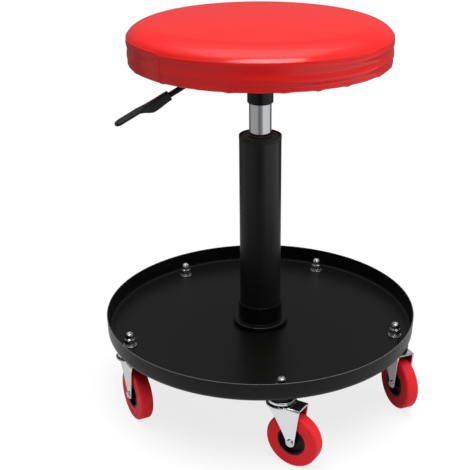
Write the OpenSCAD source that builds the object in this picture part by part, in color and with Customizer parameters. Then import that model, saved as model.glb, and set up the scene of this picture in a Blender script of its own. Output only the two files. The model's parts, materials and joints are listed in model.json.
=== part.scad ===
// Rolling workshop seat: a round padded seat on a gas spring column, which
// stands on a round tool tray with five swivel casters.
// Millimetres. The origin is on the floor under the column, +Z is up, and
// the seat is shown at the middling height of its photograph.

/* [Tray] */
// Radius of the tray over its rim
tray_r = 206; // [190:1:240]
// Height of the rim above the floor
rim_z = 119; // [114:1:150]
// Height of the tray's wall, from its underside to its rim
tray_wall_h = 24.5; // [15:0.5:30]
// How far the wall leans out from its foot to its rim
tray_flare = 1; // [0:0.5:6]
// Inner radius of the fold between floor and wall
tray_fold_r = 4; // [1:0.5:5]
// Thickness of the tray's sheet
sheet_t = 1.2; // [0.8:0.1:2]

/* [Column] */
// Outer radius of the column tube
column_r = 27; // [24:0.5:32]
// Wall of the column tube
column_wall = 1.8; // [1.2:0.1:3]
// Height of the column above the tray's floor
column_h = 263.8; // [240:0.2:300]
// Height of the cap on the column's mouth
bush_cap_h = 5.5; // [4:0.5:8]
// Wall of the socket that holds the column
socket_wall = 2.35; // [1.5:0.05:4]
// Height of the socket above the tray's floor
socket_h = 32; // [20:1:45]
// How far the socket's round foot stands out from its wall
socket_foot_w = 7; // [4:0.5:10]
// Height of the socket's round foot
socket_foot_h = 7; // [4:0.5:10]
// Length of the guide bush in the column's mouth
bush_len = 60; // [45:1:80]

/* [Gas spring] */
// Outer radius of the sliding cylinder
cylinder_r = 14.2; // [13:0.1:15]
// Wall of the sliding cylinder
cylinder_wall = 1.6; // [1:0.1:2.5]
// Height of the rubber buffer under the cylinder
bump_h = 12; // [6:1:20]
// Radius of the piston rod
rod_r = 5; // [4:0.1:6]
// How far the seat drops from the height shown
lift_down = 37; // [10:1:40]
// How far the seat rises from the height shown
lift_up = 83; // [40:1:100]
// Radius of the valve's push pin
valve_pin_r = 3.5; // [2.5:0.1:4]

/* [Seat] */
// Radius of the seat at its widest
seat_r = 162.5; // [155:0.5:180]
// Height of the seat's underside above the column's top
seat_rise = 94.5; // [92.5:0.5:110]
// Height of the seat from its underside to its crown
seat_h = 52; // [45:1:65]
// How far the crown rises above the seat's shoulder
crown_rise = 2.5; // [0:0.5:12]
// How far the seat's round shoulder reaches in from its side
shoulder_w = 40; // [10:1:50]
// Height of the seat's round shoulder
shoulder_h = 19.5; // [8:0.5:25]
// How far the seat's side draws in at its hem
hem_draw = 1; // [0.5:0.5:8]
// Thickness of the cover's vinyl
vinyl_t = 1.2; // [0.8:0.1:2]
// Thickness of the seat board
board_t = 12; // [9:1:18]
// Side of the square seat plate
plate_w = 150; // [130:1:180]
// Thickness of the seat plate
plate_t = 3; // [2:0.5:5]
// Distance of the seat plate's bolts inside its edges
bolt_margin = 17; // [14:0.5:24]

/* [Lever] */
// Direction in which the lever points, about the column
lever_azimuth = 198; // [190:1:212]
// Radius of the lever's rod
lever_rod_r = 3.5; // [3:0.1:4]
// Distance of the lever's pivot from the column's axis
pivot_x = 34; // [30:1:40]
// Distance of the rod's bend from the column's axis
bend_x = 69.5; // [55:0.5:72]
// Slope of the rod and grip beyond the bend
lever_slope = 27.5; // [10:0.5:30]
// Length of bare rod between bend and grip
lever_reach = 51.5; // [45:0.5:75]
// Length of the grip
grip_len = 75; // [60:1:90]
// Width of the grip's flat finger
grip_w = 16; // [12:1:22]
// Height of the grip where it is thickest
grip_h = 13.5; // [10:0.5:14]

/* [Casters] */
// Distance of the stems inside the tray's rim
stem_inset = 23; // [19:0.5:40]
// Direction of each stem, about the column
stem_angles = [-13.5, 62.5, 127.5, 202.5, -82];
// Radius of a wheel
wheel_r = 35; // [30:0.5:36]
// Width of a wheel
wheel_w = 17; // [16:0.5:24]
// Radius of a wheel's hub, inside the tyre
hub_r = 18.8; // [16:0.2:22]
// Slant at the tyre's edges
tyre_bevel = 2; // [1:0.2:4]
// Distance from the stem's axis to the wheel's, along the floor
trail = 18.5; // [17:0.5:26]
// Thickness of the fork's sheet
fork_t = 2.2; // [1.6:0.1:3]
// Radius of the axle
axle_r = 3; // [2.5:0.1:4]
// Direction in which each wheel trails its stem
headings = [-66.5, 80, 150, -62, -31];

/* [Hidden] */
$fn = 96;

// Every cut runs past the face that it opens by this much
over = 1;
// Radial clearances of the fits
running_gap = 0.05;
seated_gap = 0.02;
free_gap = 0.3;

// Tray
caster_count = len(stem_angles);
tray_under_z = rim_z - tray_wall_h;
stem_circle_r = tray_r - stem_inset;
tray_floor_z = tray_under_z + sheet_t;
tray_foot_r = tray_r - tray_flare;
spigot_r = 22;
spigot_bore_r = 18;
under_plate_r = 60;
under_plate_t = 3;
ring_nut_r = 31;
ring_nut_t = 7;
spigot_stub = 1.8;
spigot_len = sheet_t + under_plate_t + ring_nut_t + spigot_stub;

// Column and socket
socket_r = column_r + socket_wall;
socket_ledge_t = 3.3;
socket_top_z = tray_floor_z + socket_h;
column_top_z = tray_floor_z + column_h;
socket_lip_r = 1.1;
column_foot_z = tray_floor_z + socket_ledge_t;
column_bore_r = column_r - column_wall;
column_base_t = 6;
column_base_z = column_foot_z;
race_z = column_base_z + column_base_t;
race_r = 13;
race_t = 1.2;
thrust_ball_r = 1.6;
thrust_ball_count = 12;
thrust_pitch_r = 9.5;
cage_t = 1.4;
tube_top_z = column_top_z - bush_cap_h;
cap_lap = 0.2;
cap_r = column_r + cap_lap;
cap_round_r = 1.2;
cap_lip_w = 1.8;
cap_dish_drop = 1.2;
cap_groove_w = 1.4;
cap_groove_drop = 2;
wiper_w = 1.85;
wiper_drop = 0.3;

// Gas spring
rod_neck_r = 4;
rod_stub = 4.5;
rod_foot_z = column_base_z - rod_stub;
rod_shoulder_z = race_z + 2 * race_t + 2 * thrust_ball_r;
bump_r = thrust_pitch_r + 1.5;
cylinder_foot_z = rod_shoulder_z + bump_h + free_gap + lift_down;
cylinder_bore_r = cylinder_r - cylinder_wall;
gland_h = 16;
valve_body_h = 12;
valve_pin_len = 20;
pin_chamfer_share = 0.2;
piston_h = 14;
piston_reserve = 8;
piston_z = cylinder_foot_z + lift_up + gland_h + piston_reserve;
seal_r = 1.2;
clip_t = 1.2;
clip_r = 8;
clip_drop = 0.4;
groove_r = 3.2;
clip_mouth_w = 5.2;

// Seat
seat_under_z = column_top_z + seat_rise;
crown_z = seat_under_z + seat_h;
board_under_z = seat_under_z + vinyl_t;
tuck_w = 26;
hem_r = seat_r - hem_draw;
hem_roll_r = 3;
foam_wrap = 3;
board_r = hem_r - hem_roll_r - foam_wrap;
plate_z = board_under_z - plate_t;
plate_corner_r = 14;
bolt_pitch = plate_w - 2 * bolt_margin;
sleeve_r = 16.45;
sleeve_len = 51.5;
sleeve_foot_z = plate_z - sleeve_len;
sleeve_chamfer = 1.4;
bolt_r = 3;
bolt_head_af = 10;
bolt_head_h = 4;
bolt_washer_r = 6.2;
bolt_washer_t = 1.2;
tee_flange_r = 9.5;
tee_flange_t = 1.4;
tee_barrel_r = 4.6;
tee_barrel_h = 8.5;
staple_count = 32;
staple_w = 10;
staple_t = 0.9;
staple_leg = 6;
staple_inset = 14;

// Lever, in its own plane: X runs out from the column's axis
rod_drop = 8.7;
rod_z = plate_z - rod_drop;
cylinder_drop = 12.5;
cylinder_top_z = rod_z - cylinder_drop;
cylinder_len = cylinder_top_z - cylinder_foot_z;
pin_rest_gap = 0.3;
pin_top_z = rod_z - lever_rod_r - pin_rest_gap;
lever_inner_x = -5;
bend_r = 15;
bend_swell = 0.1;
bend_lap = 0.5;
boss_r = 6;
boss_w = 9;
pivot_pin_r = 2.5;
pivot_head_r = 4.2;
pivot_head_t = 1.6;
ear_t = 2.5;
ear_gap = 5;
ear_r = 8;
window_w = 8.6;
window_drop = 7.3;
grip_boss_w = 10;
grip_boss_len = 25;
grip_blend_len = 19;
grip_finger_t = 4.5;
grip_hold = 27;
grip_root_share = 0.85;
grip_rings = 26;
grip_sides = 24;
grip_square_share = 0.45;
grip_root_round = 1.5;
root_draw_share = 0.15;
grip_tip_inset = 0.15;

// Casters
thread_r = 4;
stem_hole_r = 4.2;
flat_washer_r = 8.8;
flat_washer_t = 1.6;
lock_washer_r = 6.9;
lock_washer_t = 2.2;
lock_slit_w = 1.2;
nut_af = 13;
nut_hex_h = 6.5;
nut_h = 16;
nut_dome_r = 5.9;
nut_thread_depth = 11;
stem_collar_af = 14;
kingpin_r = 5;
kingpin_head_r = 8;
kingpin_head_t = 2.4;
cup_r = 17;
cup_t = 2;
cup_skirt_h = 4;
cup_skirt_w = 1.4;
cup_edge_r = 1.3;
cup_gap = 2.2;
swivel_ball_r = 1.9;
swivel_ball_count = 14;
swivel_pitch_r = 11.5;
swivel_collar_h = 6.1;
cup_top_z = tray_under_z - swivel_collar_h;
cup_foot_z = cup_top_z - cup_skirt_h;
fork_top_z = cup_foot_z - cup_gap;
fork_gap = 1.4;
fork_half_w = wheel_w / 2 + fork_gap;
fork_lead = 14;
fork_tail = 30.5;
fork_turn_r = 7;
fork_cap_r = 19;
fork_boss_r = 6;
leg_meets_boss = 162;
leg_edge_h = 3.5;
leg_pull_x = -5;
leg_pull_drop = 9;
kingpin_clear = 0.1;
axle_head_r = 4.6;
axle_head_t = 2;
axle_nut_af = 10;
axle_nut_t = 4;
hub_side_gap = 0.4;
hub_web_inset = 4.5;
hub_rim_w = 2.6;
hub_boss_r = 6.5;

// Points of an arc about (x, y), from angle a to angle b
function arc(x, y, r, a, b, n = 8) =
    [for (i = [0 : n]) [x + r * cos(a + (b - a) * i / n), y + r * sin(a + (b - a) * i / n)]];

// A point on the quadratic curve from p through the pull of q to s
function bend_point(p, q, s, t) = (1 - t) * (1 - t) * p + 2 * t * (1 - t) * q + t * t * s;

// Circle that goes round a hexagon, from the distance across its flats
function hex_r(across_flats) = across_flats / 2 / cos(30);

// A ring or a disc: outer radius, bore, height
module ring(r, bore, h) {
    difference() {
        cylinder(r = r, h = h);
        translate([0, 0, -over]) cylinder(r = bore, h = h + 2 * over);
    }
}

// Puts its children on every stem
module at_stems() {
    for (angle = stem_angles)
        rotate([0, 0, angle]) translate([stem_circle_r, 0, 0]) children();
}

// Puts its children at caster k, with X along the way the wheel trails
module at_caster(k) {
    angle = stem_angles[k - 1];
    rotate([0, 0, angle]) translate([stem_circle_r, 0, 0])
        rotate([0, 0, headings[k - 1] - angle]) children();
}

// Puts its children at the four bolts of the seat plate
module at_bolts() {
    for (x = [-1, 1], y = [-1, 1])
        translate([x * bolt_pitch / 2, y * bolt_pitch / 2, 0]) children();
}

// Turns its children into the lever's plane
module in_lever_plane() {
    rotate([0, 0, lever_azimuth]) children();
}

// Tray: one pressed sheet, with a round fold and a leaning wall
module tray_pan() {
    fold_r = tray_fold_r + sheet_t;
    color([0.09, 0.09, 0.1]) difference() {
        rotate_extrude($fn = 180) polygon(concat(
            [[0, tray_under_z]],
            arc(tray_foot_r - fold_r, tray_under_z + fold_r, fold_r, -90, 0),
            [[tray_r, rim_z], [tray_r - sheet_t, rim_z]],
            arc(tray_foot_r - fold_r, tray_under_z + fold_r, tray_fold_r, 0, -90),
            [[0, tray_floor_z]]
        ));
        translate([0, 0, tray_under_z - over])
            cylinder(r = spigot_r + free_gap, h = sheet_t + 2 * over);
        at_stems() translate([0, 0, tray_under_z - over])
            cylinder(r = stem_hole_r, h = sheet_t + 2 * over);
    }
}

// Socket: a tube with a round foot on the tray and a spigot through it
module column_socket() {
    foot_r = socket_r + socket_foot_w;
    color([0.07, 0.07, 0.08]) difference() {
        union() {
            rotate_extrude() polygon(concat(
                [[0, tray_floor_z]],
                arc(foot_r - socket_foot_h / 2, tray_floor_z + socket_foot_h / 2, socket_foot_h / 2, -90, 90),
                [[socket_r, tray_floor_z + socket_foot_h]],
                arc(socket_r - socket_lip_r, socket_top_z - socket_lip_r, socket_lip_r, 0, 90),
                [[0, socket_top_z]]
            ));
            translate([0, 0, tray_floor_z - spigot_len]) cylinder(r = spigot_r, h = spigot_len + over);
        }
        translate([0, 0, column_foot_z]) cylinder(r = column_r + seated_gap, h = socket_h + over);
        translate([0, 0, tray_floor_z - spigot_len - over])
            cylinder(r = spigot_bore_r, h = spigot_len + socket_ledge_t + 2 * over);
    }
}

// Stiffening disc under the tray
module under_plate() {
    color([0.1, 0.1, 0.11]) translate([0, 0, tray_under_z - under_plate_t])
        ring(under_plate_r, spigot_r + free_gap, under_plate_t);
}

// Nut on the socket's spigot
module ring_nut() {
    color([0.45, 0.45, 0.47]) translate([0, 0, tray_under_z - under_plate_t - ring_nut_t]) difference() {
        cylinder(r = ring_nut_r, h = ring_nut_t, $fn = 8);
        translate([0, 0, -over]) cylinder(r = spigot_r + seated_gap, h = ring_nut_t + 2 * over);
    }
}

// Column: a plain tube, closed at the top by the bush's cap
module column_tube() {
    color([0.06, 0.06, 0.07]) translate([0, 0, column_foot_z])
        ring(column_r, column_bore_r, tube_top_z - column_foot_z);
}

// Disc that closes the column's foot and carries the thrust bearing
module column_base() {
    color([0.5, 0.5, 0.52]) translate([0, 0, column_base_z])
        ring(column_bore_r - seated_gap, rod_neck_r + running_gap, column_base_t);
}

// Plastic bush that guides the cylinder, with a dished cap over the column's mouth
module guide_bush() {
    bore_r = cylinder_r + running_gap;
    body_r = column_bore_r - seated_gap;
    foot_z = tube_top_z - bush_len;
    lip_x = cap_r - cap_lip_w;
    groove_x = lip_x - cap_groove_w;
    wiper_x = bore_r + wiper_w;
    dish_z = column_top_z - cap_dish_drop;
    groove_z = column_top_z - cap_groove_drop;
    wiper_z = column_top_z - wiper_drop;
    color([0.12, 0.12, 0.13]) rotate_extrude() polygon(concat(
        [[bore_r, foot_z], [body_r, foot_z], [body_r, tube_top_z], [cap_r, tube_top_z]],
        arc(cap_r - cap_round_r, column_top_z - cap_round_r, cap_round_r, 0, 90),
        [[lip_x, column_top_z], [lip_x, groove_z], [groove_x, groove_z], [groove_x, dish_z]],
        [[wiper_x, dish_z], [wiper_x, wiper_z], [bore_r, wiper_z]]
    ));
}

// Lower washer of the thrust bearing
module lower_race() {
    color([0.7, 0.7, 0.72]) translate([0, 0, race_z]) ring(race_r, rod_neck_r + free_gap, race_t);
}

// Cage that holds the thrust balls
module ball_cage() {
    color([0.75, 0.62, 0.3]) translate([0, 0, race_z + race_t + thrust_ball_r - cage_t / 2]) difference() {
        ring(race_r, rod_neck_r + free_gap, cage_t);
        for (i = [0 : thrust_ball_count - 1])
            rotate([0, 0, i * 360 / thrust_ball_count]) translate([thrust_pitch_r, 0, -over])
                cylinder(r = thrust_ball_r + running_gap, h = cage_t + 2 * over, $fn = 32);
    }
}

// Balls of the thrust bearing
module thrust_balls() {
    color([0.8, 0.8, 0.82]) for (i = [0 : thrust_ball_count - 1])
        rotate([0, 0, i * 360 / thrust_ball_count])
            translate([thrust_pitch_r, 0, race_z + race_t + thrust_ball_r])
                sphere(r = thrust_ball_r - seated_gap, $fn = 24);
}

// Upper washer of the thrust bearing, which turns with the rod
module upper_race() {
    color([0.7, 0.7, 0.72]) translate([0, 0, rod_shoulder_z - race_t])
        ring(race_r, rod_neck_r + seated_gap, race_t);
}

// Piston rod, necked down through the bearing and grooved for its clip
module piston_rod() {
    groove_z = column_base_z - clip_drop - clip_t;
    color([0.75, 0.75, 0.78]) rotate_extrude() polygon([
        [0, rod_foot_z], [rod_neck_r, rod_foot_z], [rod_neck_r, groove_z], [groove_r, groove_z],
        [groove_r, groove_z + clip_t], [rod_neck_r, groove_z + clip_t],
        [rod_neck_r, rod_shoulder_z], [rod_r, rod_shoulder_z],
        [rod_r, piston_z], [rod_neck_r, piston_z],
        [rod_neck_r, piston_z + piston_h], [0, piston_z + piston_h]
    ]);
}

// Piston, grooved for its seal
module piston_head() {
    color([0.55, 0.56, 0.58]) translate([0, 0, piston_z]) difference() {
        ring(cylinder_bore_r - running_gap, rod_neck_r + seated_gap, piston_h);
        translate([0, 0, piston_h / 2]) rotate_extrude()
            translate([cylinder_bore_r - running_gap - seal_r, 0]) translate([0, -seal_r])
                square([seal_r + over, 2 * seal_r]);
    }
}

// Seal ring round the piston
module piston_seal() {
    color([0.05, 0.05, 0.05]) translate([0, 0, piston_z + piston_h / 2]) rotate_extrude()
        translate([cylinder_bore_r - running_gap - seal_r + seated_gap, -seal_r + seated_gap])
            square([seal_r - seated_gap, 2 * (seal_r - seated_gap)]);
}

// Rubber buffer that stops the cylinder at its lowest
module bump_stop() {
    color([0.08, 0.08, 0.08]) translate([0, 0, rod_shoulder_z])
        ring(bump_r, rod_r + seated_gap, bump_h);
}

// Spring clip that keeps the rod in the column's foot
module rod_clip() {
    color([0.6, 0.6, 0.63]) translate([0, 0, column_base_z - clip_drop - clip_t + seated_gap]) difference() {
        ring(clip_r, groove_r + seated_gap, clip_t - 2 * seated_gap);
        translate([0, -clip_mouth_w / 2, -over]) cube([clip_r + over, clip_mouth_w, clip_t + 2 * over]);
    }
}

// Chrome cylinder that slides in the column
module gas_cylinder() {
    color([0.85, 0.86, 0.88]) translate([0, 0, cylinder_foot_z])
        ring(cylinder_r, cylinder_bore_r, cylinder_len);
}

// Gland that guides and seals the rod at the cylinder's foot
module cylinder_gland() {
    color([0.5, 0.5, 0.52]) translate([0, 0, cylinder_foot_z])
        ring(cylinder_bore_r - seated_gap, rod_r + running_gap, gland_h);
}

// Plug that closes the cylinder's top and guides the valve's pin
module valve_body() {
    color([0.5, 0.5, 0.52]) translate([0, 0, cylinder_top_z - valve_body_h])
        ring(cylinder_bore_r - seated_gap, valve_pin_r + running_gap, valve_body_h);
}

// Push pin of the gas spring's valve, with a narrowed top
module valve_pin() {
    chamfer = valve_pin_r * pin_chamfer_share;
    color([0.8, 0.75, 0.5]) translate([0, 0, pin_top_z - valve_pin_len]) rotate_extrude($fn = 48) polygon([
        [0, 0], [valve_pin_r, 0], [valve_pin_r, valve_pin_len - chamfer],
        [valve_pin_r - chamfer, valve_pin_len], [0, valve_pin_len]
    ]);
}

// Tube under the seat plate that holds the cylinder's top, with a window
// for the lever
module taper_socket() {
    color([0.05, 0.05, 0.06]) difference() {
        rotate_extrude() polygon([
            [cylinder_r + seated_gap, sleeve_foot_z],
            [sleeve_r - sleeve_chamfer, sleeve_foot_z],
            [sleeve_r, sleeve_foot_z + sleeve_chamfer],
            [sleeve_r, plate_z],
            [cylinder_r + seated_gap, plate_z]
        ]);
        in_lever_plane() translate([0, -window_w / 2, rod_z - window_drop])
            cube([sleeve_r + over, window_w, plate_z - rod_z + window_drop + over]);
    }
}

// Square steel plate with round corners, bolted under the seat board
module seat_plate() {
    side = plate_w - 2 * plate_corner_r;
    color([0.07, 0.07, 0.08]) translate([0, 0, plate_z]) difference() {
        union() {
            translate([-plate_w / 2, -side / 2, 0]) cube([plate_w, side, plate_t]);
            translate([-side / 2, -plate_w / 2, 0]) cube([side, plate_w, plate_t]);
            for (x = [-1, 1], y = [-1, 1])
                translate([x * side / 2, y * side / 2, 0]) cylinder(r = plate_corner_r, h = plate_t);
        }
        at_bolts() translate([0, 0, -over]) cylinder(r = bolt_r + free_gap, h = plate_t + 2 * over);
    }
}

// Two ears under the seat plate that carry the lever's pivot
module lever_bracket() {
    color([0.08, 0.08, 0.09]) in_lever_plane() difference() {
        for (side = [-1, 1])
            translate([pivot_x, side * (ear_gap + ear_t / 2), rod_z]) {
                rotate([90, 0, 0]) cylinder(r = ear_r, h = ear_t, center = true);
                translate([-ear_r, -ear_t / 2, 0]) cube([2 * ear_r, ear_t, plate_z - rod_z]);
            }
        translate([pivot_x, 0, rod_z]) rotate([90, 0, 0])
            cylinder(r = pivot_pin_r + seated_gap, h = 2 * (ear_gap + ear_t + over), center = true);
    }
}

// Pivot pin of the lever, headed at both ends
module pivot_pin() {
    half = ear_gap + ear_t;
    color([0.7, 0.7, 0.72]) in_lever_plane() translate([pivot_x, 0, rod_z]) {
        rotate([90, 0, 0]) cylinder(r = pivot_pin_r, h = 2 * half, center = true, $fn = 48);
        for (side = [-1, 1])
            translate([0, side * (half + pivot_head_t / 2), 0]) rotate([90, 0, 0])
                cylinder(r = pivot_head_r, h = pivot_head_t, center = true, $fn = 48);
    }
}

// Bolts that hold the seat plate to the board
module plate_bolts() {
    head_z = plate_z - bolt_washer_t - bolt_head_h;
    color([0.6, 0.6, 0.62]) at_bolts() translate([0, 0, head_z]) {
        cylinder(r = hex_r(bolt_head_af), h = bolt_head_h, $fn = 6);
        cylinder(r = bolt_r, h = bolt_head_h + bolt_washer_t + plate_t + board_t, $fn = 48);
    }
}

// Washers under the bolt heads
module bolt_washers() {
    color([0.65, 0.65, 0.67]) at_bolts() translate([0, 0, plate_z - bolt_washer_t])
        ring(bolt_washer_r, bolt_r + seated_gap, bolt_washer_t);
}

// Tee nuts, sunk into the board's top
module tee_nuts() {
    color([0.6, 0.6, 0.55]) at_bolts() translate([0, 0, board_under_z + board_t]) difference() {
        union() {
            translate([0, 0, -tee_flange_t]) cylinder(r = tee_flange_r, h = tee_flange_t);
            translate([0, 0, -tee_barrel_h]) cylinder(r = tee_barrel_r, h = tee_barrel_h);
        }
        translate([0, 0, -board_t]) cylinder(r = bolt_r + seated_gap, h = board_t + over);
    }
}

// Plywood seat board
module seat_board() {
    color([0.76, 0.6, 0.4]) translate([0, 0, board_under_z]) difference() {
        cylinder(r = board_r, h = board_t, $fn = 180);
        at_bolts() {
            translate([0, 0, -over]) cylinder(r = tee_barrel_r + seated_gap, h = board_t + 2 * over);
            translate([0, 0, board_t - tee_flange_t]) cylinder(r = tee_flange_r + seated_gap, h = tee_flange_t + over);
        }
    }
}

// Half section of the cushion, drawn inside the cover's face by inset: a
// crown, a round shoulder, a side that swells and draws in, and a rolled hem
function cushion_section(inset) =
    let (
        top_z = crown_z - inset,
        turn_x = seat_r - shoulder_w,
        turn_z = crown_z - crown_rise - shoulder_h,
        roll_r = hem_roll_r - inset,
        roll_x = hem_r - hem_roll_r,
        roll_z = seat_under_z + hem_roll_r,
        crown_steps = 10,
        turn_steps = 10,
        side_steps = 6
    )
    concat(
        [for (i = [0 : crown_steps - 1])
            let (share = i / crown_steps) [turn_x * share, top_z - crown_rise * share * share]],
        [for (i = [0 : turn_steps])
            let (a = 90 - 90 * i / turn_steps)
            [turn_x + (shoulder_w - inset) * cos(a), turn_z + (shoulder_h - inset) * sin(a)]],
        [for (i = [1 : side_steps - 1])
            let (share = i / side_steps)
            [seat_r - inset - hem_draw * (1 - cos(180 * share)) / 2, turn_z + (roll_z - turn_z) * share]],
        arc(roll_x, roll_z, roll_r, 0, -90, 6)
    );

// Foam under the cover, round the board
module foam_pad() {
    color([0.9, 0.85, 0.6]) difference() {
        rotate_extrude($fn = 180) polygon(concat(
            cushion_section(vinyl_t), [[0, board_under_z]]
        ));
        translate([0, 0, board_under_z - over])
            cylinder(r = board_r + seated_gap, h = board_t + over, $fn = 180);
    }
}

// Vinyl cover, pulled over the foam and tucked under the board
module vinyl_cover() {
    outer = cushion_section(0);
    inner = cushion_section(vinyl_t);
    last = len(inner) - 1;
    color([0.86, 0.13, 0.13]) rotate_extrude($fn = 180) polygon(concat(
        outer,
        [[hem_r - tuck_w, seat_under_z], [hem_r - tuck_w, board_under_z]],
        [for (i = [0 : last]) inner[last - i]]
    ));
}

// Staples that hold the cover's tucked edge to the board
module cover_staples() {
    color([0.7, 0.7, 0.7]) for (i = [0 : staple_count - 1])
        rotate([0, 0, (i + 0.5) * 360 / staple_count]) translate([hem_r - staple_inset, 0, seat_under_z - staple_t]) {
            translate([-staple_t / 2, -staple_w / 2, 0]) cube([staple_t, staple_w, staple_t]);
            for (side = [-1, 1])
                translate([-staple_t / 2, side * (staple_w - staple_t) / 2 - staple_t / 2, 0])
                    cube([staple_t, staple_t, staple_leg]);
        }
}

// Lever: a round rod from over the valve's pin, through its pivot boss, and
// bent down beyond the bracket
module lever_rod() {
    drop_x = bend_r * tan(lever_slope / 2);
    color([0.05, 0.05, 0.06]) in_lever_plane() translate([0, 0, rod_z]) difference() {
        union() {
            translate([lever_inner_x, 0, 0]) rotate([0, 90, 0])
                cylinder(r = lever_rod_r, h = bend_x - drop_x + bend_lap - lever_inner_x, $fn = 48);
            translate([bend_x - drop_x, 0, -bend_r]) rotate([90, 0, 0])
                rotate([0, 0, 90 - lever_slope]) rotate_extrude(angle = lever_slope)
                    translate([bend_r, 0]) circle(r = lever_rod_r + bend_swell, $fn = 48);
            translate([bend_x, 0, 0]) rotate([0, 90 + lever_slope, 0]) translate([0, 0, drop_x - bend_lap])
                cylinder(r = lever_rod_r, h = lever_reach - drop_x + bend_lap + grip_hold, $fn = 48);
            translate([pivot_x, 0, 0]) rotate([90, 0, 0])
                cylinder(r = boss_r, h = boss_w, center = true);
        }
        translate([pivot_x, 0, 0]) rotate([90, 0, 0])
            cylinder(r = pivot_pin_r + running_gap, h = boss_w + 2 * over, center = true, $fn = 48);
    }
}

// Smooth step from 0 to 1
function ease(t) = let (u = min(max(t, 0), 1)) u * u * (3 - 2 * u);

// How far the grip has thinned from its boss to its finger, at distance s
function grip_blend(s) = ease((s - grip_boss_len) / grip_blend_len);

// How full the grip's section is at distance s: rounded at both ends
function grip_fullness(s) =
    let (
        tip_r = grip_w / 2,
        root_r = grip_root_round,
        from_tip = max(0, tip_r - (grip_len - s)) / tip_r,
        from_root = max(0, root_r - s) / root_r
    )
    sqrt(max(0, 1 - from_tip * from_tip)) * (1 - root_draw_share * from_root * from_root);

// Outline of the grip's section at distance s, as [side, up] points
function grip_section(s) =
    let (
        b = grip_blend(s),
        fullness = grip_fullness(s),
        half_w = (grip_boss_w + (grip_w - grip_boss_w) * b) / 2 * fullness,
        root_h = grip_h * grip_root_share,
        boss_h = root_h + (grip_h - root_h) * ease(s / grip_boss_len),
        deep = boss_h + (grip_finger_t - boss_h) * b,
        middle = (root_h - deep) / 2,
        half_h = deep / 2 * sqrt(fullness)
    )
    [for (i = [0 : grip_sides - 1])
        let (a = i * 360 / grip_sides, c = cos(a), d = sin(a))
        [half_w * sign(c) * pow(abs(c), grip_square_share),
         middle + half_h * sign(d) * pow(abs(d), grip_square_share)]];

// Distances of the grip's rings, closer together at both ends
function grip_stations() =
    [for (i = [0 : grip_rings - 1]) grip_len * (1 - cos(180 * i / (grip_rings - 1))) / 2];

// Grip: a boss on the rod that thins to a flat finger
module lever_grip() {
    stations = grip_stations();
    points = [for (s = stations) for (p = grip_section(min(s, grip_len - grip_tip_inset))) [s, p[0], p[1]]];
    sides = [for (i = [0 : grip_rings - 2], j = [0 : grip_sides - 1])
        let (k = (j + 1) % grip_sides)
        [i * grip_sides + j, i * grip_sides + k, (i + 1) * grip_sides + k, (i + 1) * grip_sides + j]];
    root_face = [[for (j = [0 : grip_sides - 1]) grip_sides - 1 - j]];
    tip_face = [[for (j = [0 : grip_sides - 1]) (grip_rings - 1) * grip_sides + j]];
    color([0.13, 0.13, 0.14]) in_lever_plane() translate([bend_x, 0, rod_z]) rotate([0, lever_slope, 0])
        translate([lever_reach, 0, 0]) difference() {
            polyhedron(points = points, faces = concat(sides, root_face, tip_face), convexity = 4);
            translate([-over, 0, 0]) rotate([0, 90, 0])
                cylinder(r = lever_rod_r + seated_gap, h = grip_hold + over, $fn = 48);
        }
}

// Threaded stems, each with a hex collar, a kingpin and its peened head
module caster_stems() {
    thread_top_z = tray_floor_z + flat_washer_t + lock_washer_t + nut_thread_depth - over;
    head_z = fork_top_z - fork_t - kingpin_clear - kingpin_head_t;
    color([0.7, 0.7, 0.72]) at_stems() {
        translate([0, 0, head_z]) cylinder(r = kingpin_head_r, h = kingpin_head_t);
        translate([0, 0, head_z]) cylinder(r = kingpin_r, h = cup_top_z - head_z);
        translate([0, 0, cup_top_z])
            cylinder(r = hex_r(stem_collar_af), h = tray_under_z - cup_top_z, $fn = 6);
        translate([0, 0, cup_top_z]) cylinder(r = thread_r, h = thread_top_z - cup_top_z);
    }
}

// Pressed cups over the swivel balls
module raceway_cups() {
    color([0.82, 0.83, 0.85]) at_stems() rotate_extrude() polygon(concat(
        [[kingpin_r + seated_gap, cup_top_z - cup_t], [cup_r - cup_skirt_w, cup_top_z - cup_t],
         [cup_r - cup_skirt_w, cup_foot_z], [cup_r, cup_foot_z]],
        arc(cup_r - cup_edge_r, cup_top_z - cup_edge_r, cup_edge_r, 0, 90, 5),
        [[kingpin_r + seated_gap, cup_top_z]]
    ));
}

// Balls between the cups and the forks
module swivel_balls() {
    color([0.75, 0.75, 0.77]) at_stems() for (i = [0 : swivel_ball_count - 1])
        rotate([0, 0, i * 360 / swivel_ball_count])
            translate([swivel_pitch_r, 0, cup_top_z - cup_t - swivel_ball_r])
                sphere(r = swivel_ball_r - seated_gap, $fn = 24);
}

// Flat washers on the tray's floor
module flat_washers() {
    color([0.78, 0.78, 0.8]) at_stems() translate([0, 0, tray_floor_z])
        ring(flat_washer_r, thread_r + seated_gap, flat_washer_t);
}

// Split lock washers
module lock_washers() {
    color([0.6, 0.6, 0.62]) at_stems() translate([0, 0, tray_floor_z + flat_washer_t]) difference() {
        ring(lock_washer_r, thread_r + seated_gap, lock_washer_t);
        translate([0, -lock_slit_w / 2, -over]) cube([lock_washer_r + over, lock_slit_w, lock_washer_t + 2 * over]);
    }
}

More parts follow.
